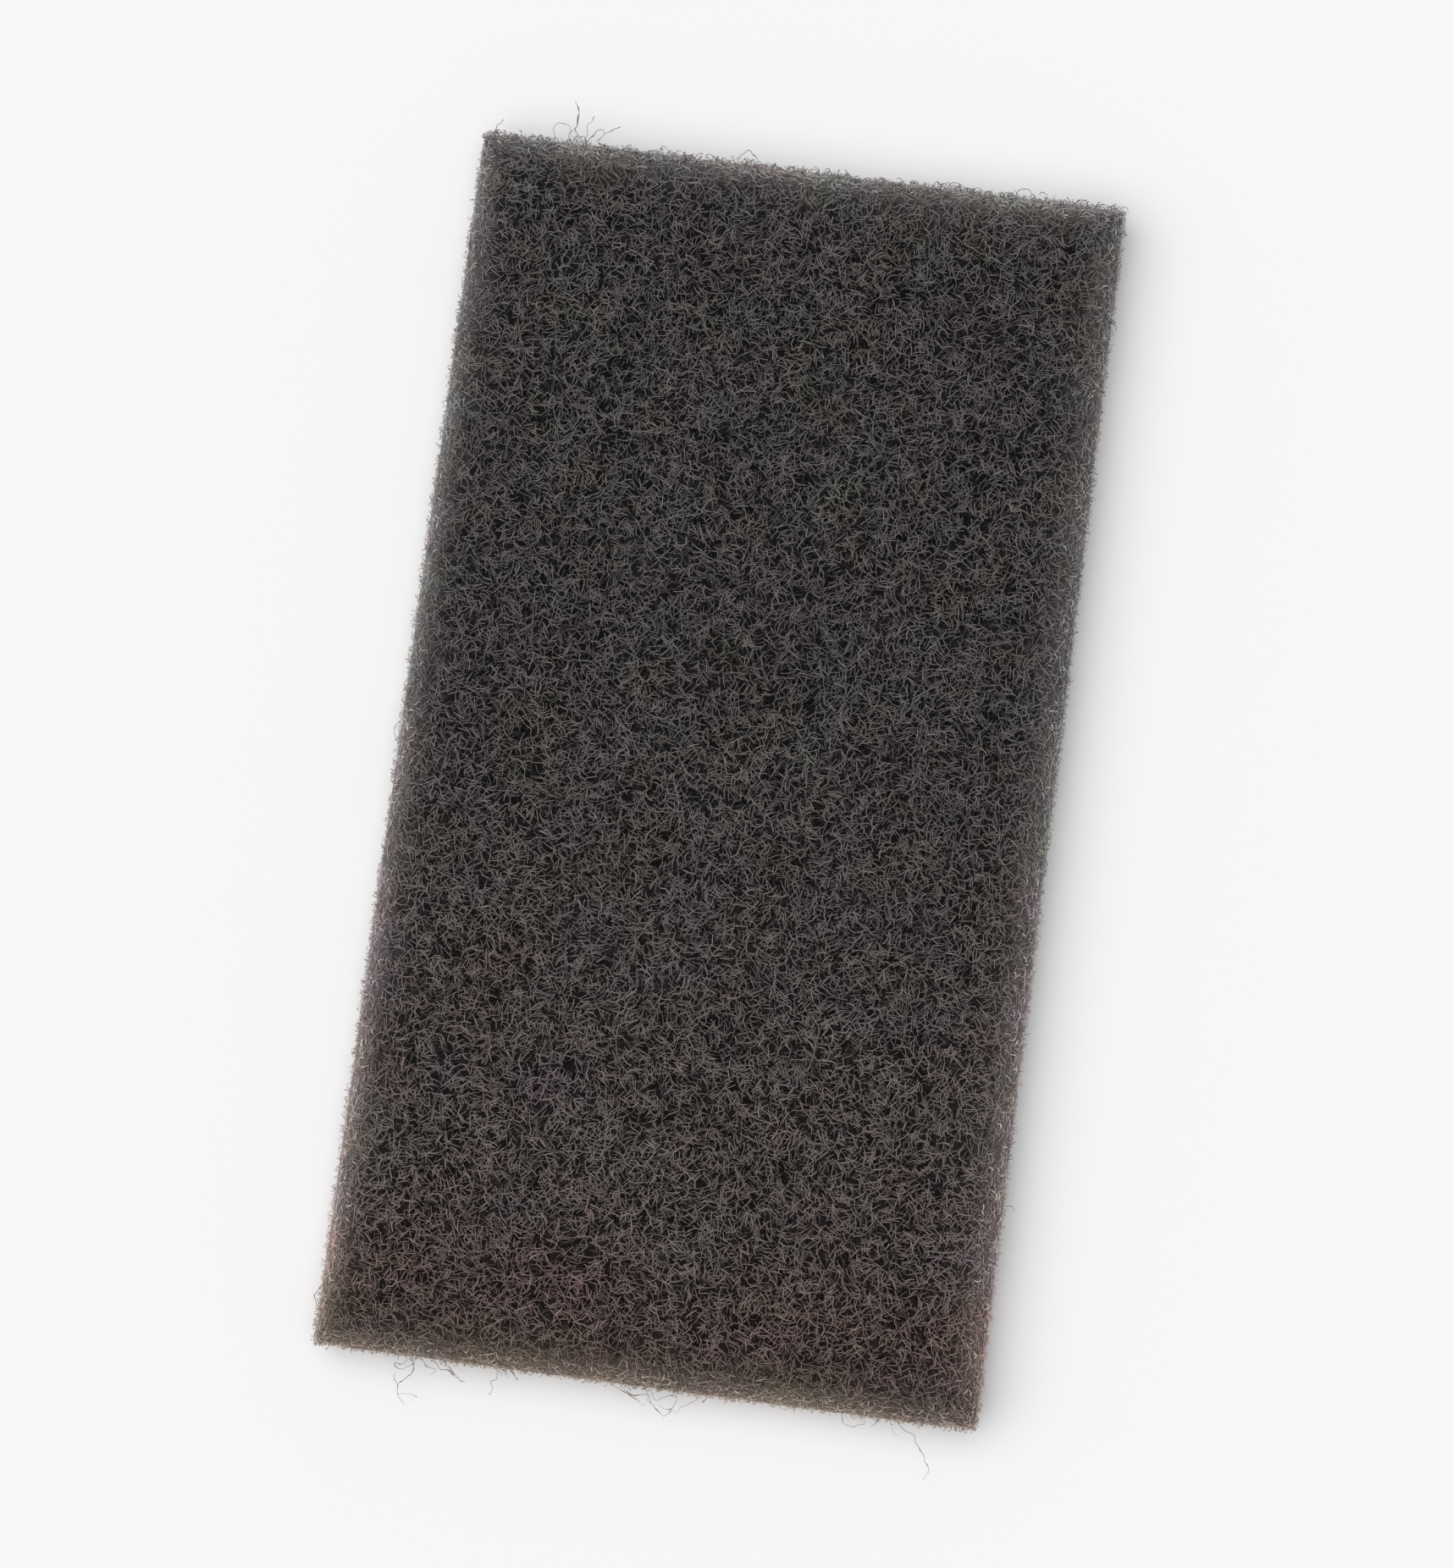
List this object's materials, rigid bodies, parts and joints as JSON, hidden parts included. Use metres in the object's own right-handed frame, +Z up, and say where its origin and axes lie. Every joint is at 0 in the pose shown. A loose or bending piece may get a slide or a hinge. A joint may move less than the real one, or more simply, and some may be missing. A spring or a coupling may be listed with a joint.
{
  "type": "abrasive pad",
  "caption": "Rectangular non-woven hand pad of crimped, coated fibres, with open pores on both faces and soft cut edges.",
  "frame": {"origin": "middle of the face that the pad rests on", "axes": "+X across the pad's width, +Y along its length, +Z up through its thickness"},
  "size_m": [0.08, 0.15, 0.008],
  "materials": {
    "coated_fibre": "matte, dark warm grey fibres with a dull grit coat"
  },
  "bodies": {
    "root": {"abrasive_pad": "coated_fibre"}
  },
  "joints": []
}
